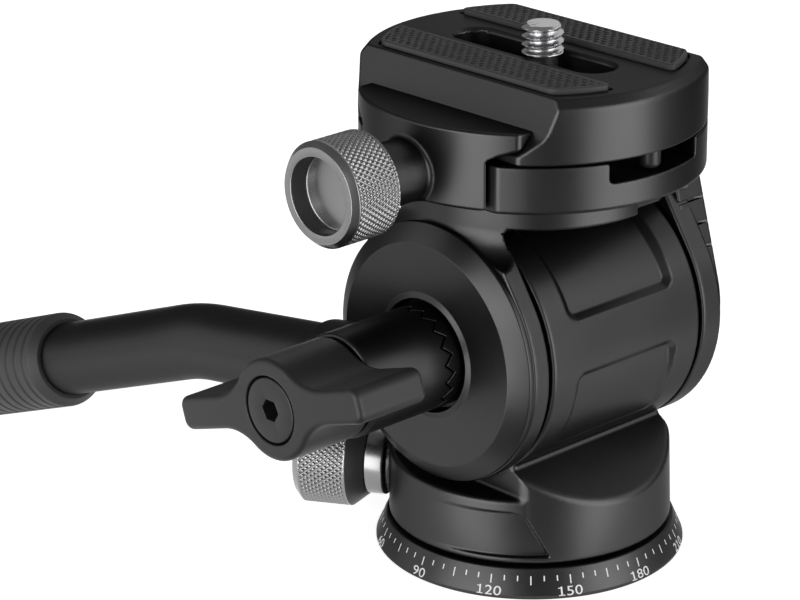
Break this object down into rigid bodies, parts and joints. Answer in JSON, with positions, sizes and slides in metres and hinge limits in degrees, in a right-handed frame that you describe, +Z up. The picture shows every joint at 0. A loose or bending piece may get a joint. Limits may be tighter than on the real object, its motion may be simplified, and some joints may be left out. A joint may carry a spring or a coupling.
{
  "type": "fluid video head",
  "caption": "Compact fluid video head: dial pan base, tilt drum in a yoke, dovetail clamp with sliding camera plate, toothed cranked handle and lock knobs.",
  "frame": {"origin": "middle of the base's underside, at the mouth of the tripod thread", "axes": "+Z up along the pan axis, X along the tilt axis with the handle at -X, -Y toward the lens"},
  "size_m": [0.0822, 0.1256, 0.0838],
  "materials": {
    "anodised_black": "satin black anodised",
    "gunmetal": "turned and knurled, grey anodised",
    "steel": "bright turned",
    "black_steel": "black oxide",
    "bronze": "sintered bronze",
    "rubber": "matt, textured",
    "moulded_black": "fine spark-eroded texture",
    "slip_polymer": "smooth, low friction"
  },
  "bodies": {
    "base": {"base_ring": "anodised_black", "spindle": "steel", "pan_washers": "slip_polymer"},
    "pan": {"pan_body": "anodised_black", "keeper": "anodised_black", "keeper_screws": "steel", "tilt_bushes": "bronze"},
    "pan_brake": {"pan_shoe": "bronze"},
    "pan_knob": {"pan_lock_screw": "steel", "pan_lock_neck": "gunmetal", "pan_lock_knob": "gunmetal"},
    "yoke": {"yoke": "anodised_black", "left_disc": "anodised_black", "rosette": "anodised_black", "right_trunnion": "steel", "damper_rotor": "steel", "arm_cover": "anodised_black", "clamp_base": "anodised_black", "clamp_screws": "steel"},
    "drag_dial": {"tilt_dial": "gunmetal"},
    "jaw": {"jaw": "anodised_black", "jaw_rods": "steel"},
    "clamp_knob": {"clamp_knob": "gunmetal", "clamp_screw": "steel"},
    "plate": {"qr_plate": "anodised_black", "rubber_strips": "rubber", "stop_pins": "black_steel"},
    "screw_slider": {"screw_washer": "steel"},
    "camera_screw": {"camera_screw": "steel"},
    "handle": {"handle_barrel": "anodised_black", "handle_tube": "anodised_black", "handle_grip": "rubber"},
    "wing": {"wing_knob": "moulded_black", "wing_bolt": "black_steel"}
  },
  "joints": [
    {"name": "pan_turn", "type": "hinge", "parent": "base", "child": "pan", "pos_m": [0, 0, 0], "axis": [0, 0, 1], "continuous": true},
    {"name": "tilt", "type": "hinge", "parent": "pan", "child": "yoke", "pos_m": [0, 0, 0.0365], "axis": [1, 0, 0], "range_deg": [-60, 90]},
    {"name": "handle_set", "type": "hinge", "parent": "yoke", "child": "handle", "pos_m": [-0.0326, 0, 0.0365], "axis": [1, 0, 0], "range_deg": [-80, 60]},
    {"name": "wing_turn", "type": "hinge", "parent": "yoke", "child": "wing", "pos_m": [-0.047, 0, 0.0365], "axis": [-1, 0, 0], "range_deg": [0, 270]},
    {"name": "drag_turn", "type": "hinge", "parent": "yoke", "child": "drag_dial", "pos_m": [0.026, 0, 0.0365], "axis": [1, 0, 0], "range_deg": [-135, 135]},
    {"name": "jaw_slide", "type": "slide", "parent": "yoke", "child": "jaw", "axis": [-1, 0, 0], "range_m": [0, 0.0032]},
    {"name": "clamp_turn", "type": "hinge", "parent": "jaw", "child": "clamp_knob", "pos_m": [-0.038, 0, 0.0665], "axis": [-1, 0, 0], "range_deg": [0, 1646]},
    {"name": "plate_slide", "type": "slide", "parent": "yoke", "child": "plate", "axis": [0, 1, 0], "range_m": [-0.005, 0.005]},
    {"name": "screw_slide", "type": "slide", "parent": "plate", "child": "screw_slider", "axis": [0, 1, 0], "range_m": [-0.01, 0.01]},
    {"name": "screw_turn", "type": "hinge", "parent": "screw_slider", "child": "camera_screw", "pos_m": [0, -0.002, 0.079], "axis": [0, 0, 1], "continuous": true},
    {"name": "brake_slide", "type": "slide", "parent": "pan", "child": "pan_brake", "axis": [0.5299, -0.848, 0], "range_m": [0, 0.00019]},
    {"name": "pan_lock_turn", "type": "hinge", "parent": "pan_brake", "child": "pan_knob", "pos_m": [-0.0159, 0.02544, 0.0104], "axis": [0.5299, -0.848, 0], "range_deg": [0, 98]}
  ],
  "couplings": [
    {"joint": "clamp_turn", "follows": "jaw_slide", "rad_per_m": 8976},
    {"joint": "pan_lock_turn", "follows": "brake_slide", "rad_per_m": 8976}
  ]
}
